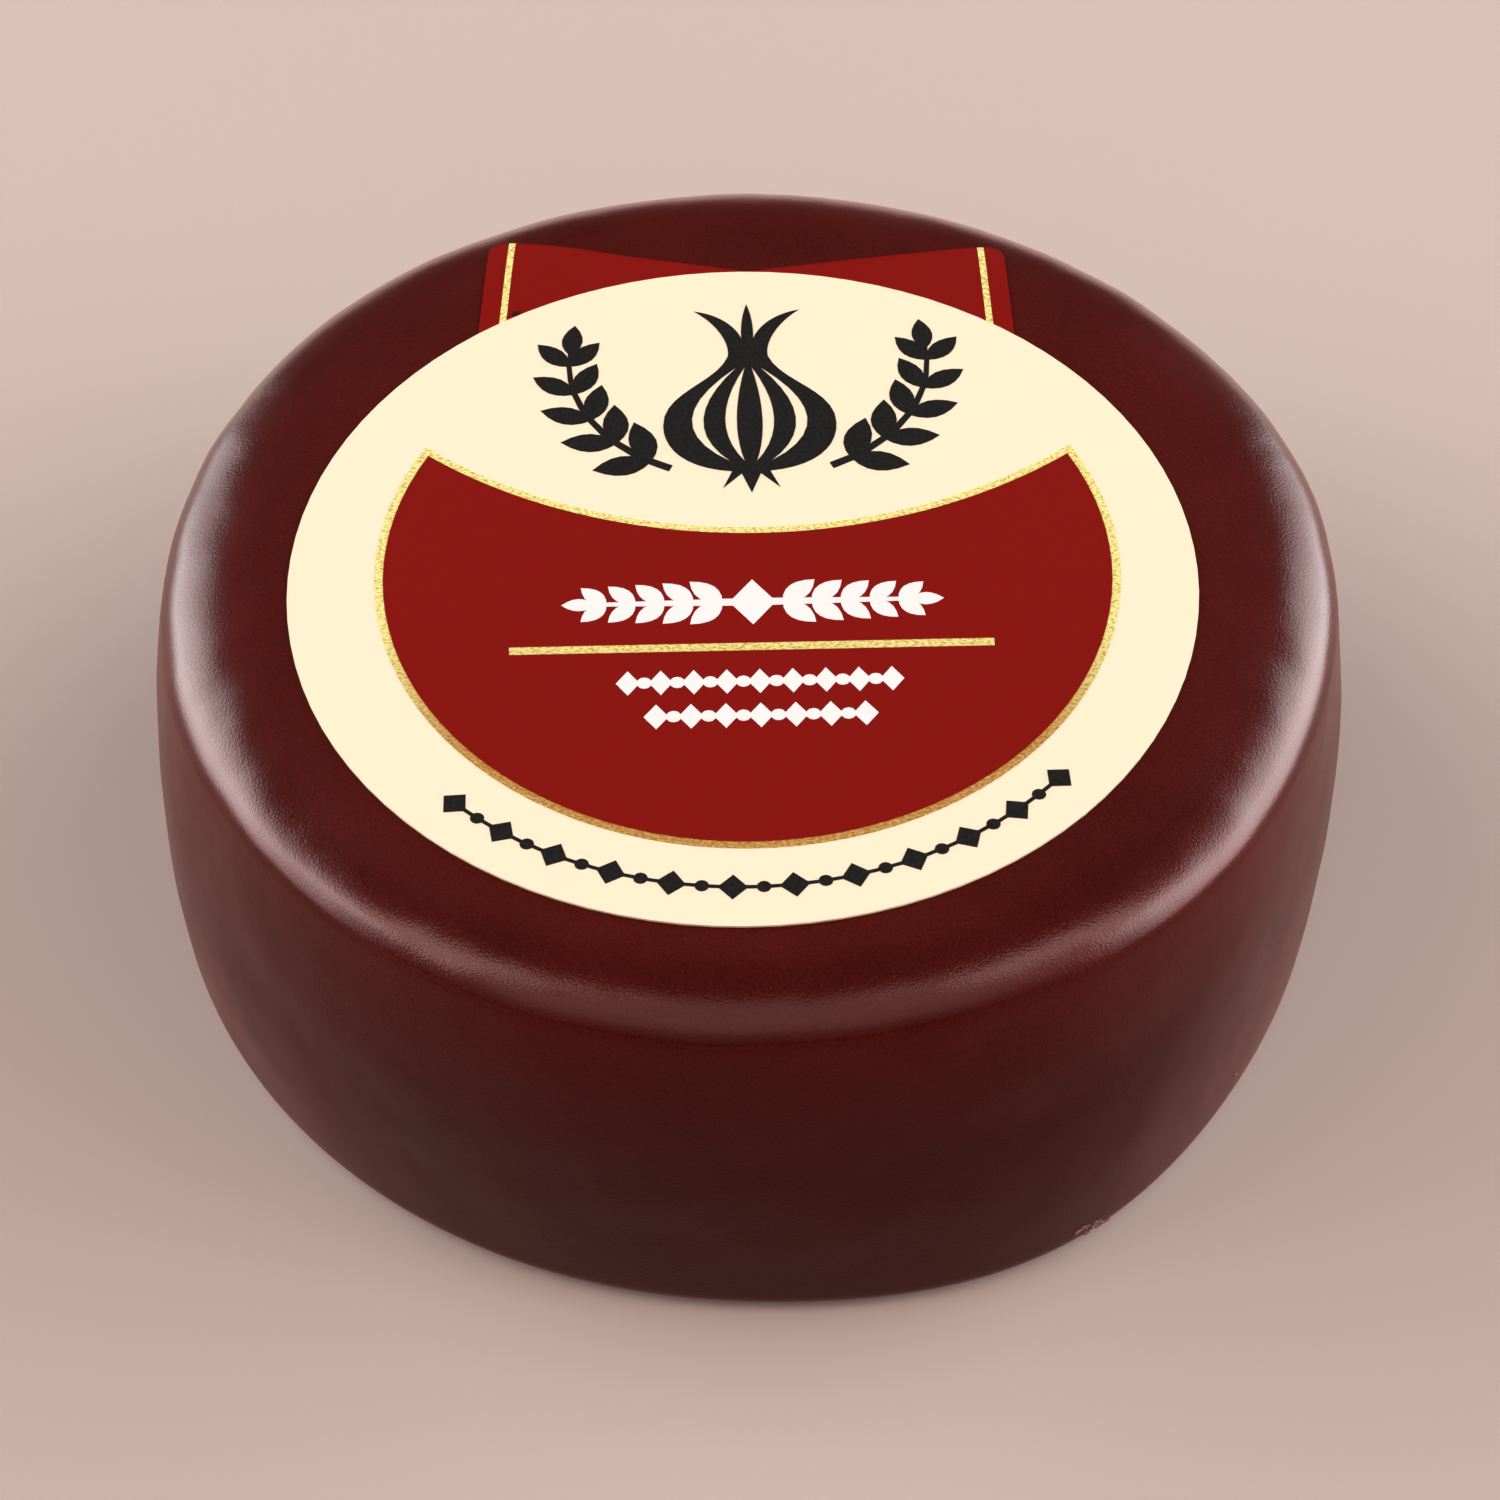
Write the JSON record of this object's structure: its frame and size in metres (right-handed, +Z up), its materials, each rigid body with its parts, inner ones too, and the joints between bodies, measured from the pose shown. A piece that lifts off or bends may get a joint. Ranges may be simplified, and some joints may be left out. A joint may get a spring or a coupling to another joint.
{
  "type": "waxed cheese wheel",
  "caption": "Small round cheese wheel in a dark red wax coat, with a rounded shoulder, a round printed paper label on top and a swallow-tailed paper tab behind it.",
  "frame": {"origin": "on the flat base, under the middle of the waxed cheese's outline", "axes": "+Z up through the label, -Y towards the front of the label, +X to the right of the label as it is seen from the front"},
  "size_m": [0.0878, 0.0886, 0.0311],
  "materials": {
    "red_wax": "dipped cheese wax, dark burgundy, satin gloss",
    "red_paper": "red printed label paper, low sheen",
    "gold_foil": "thin gold foil print, satin",
    "cream_paper": "cream label paper, uncoated",
    "black_ink": "black print, matte",
    "white_ink": "white print, matte"
  },
  "bodies": {
    "root": {"waxed_cheese": "red_wax", "back_tab": "red_paper", "tab_foil_left": "gold_foil", "tab_foil_right": "gold_foil", "round_label": "cream_paper", "foil_crescent": "gold_foil", "red_field": "red_paper", "emblem_bulb": "black_ink", "emblem_sprig_left": "black_ink", "emblem_sprig_right": "black_ink", "arc_row": "black_ink", "foil_rule": "gold_foil", "divider": "white_ink", "upper_row": "white_ink", "lower_row": "white_ink"}
  },
  "joints": []
}
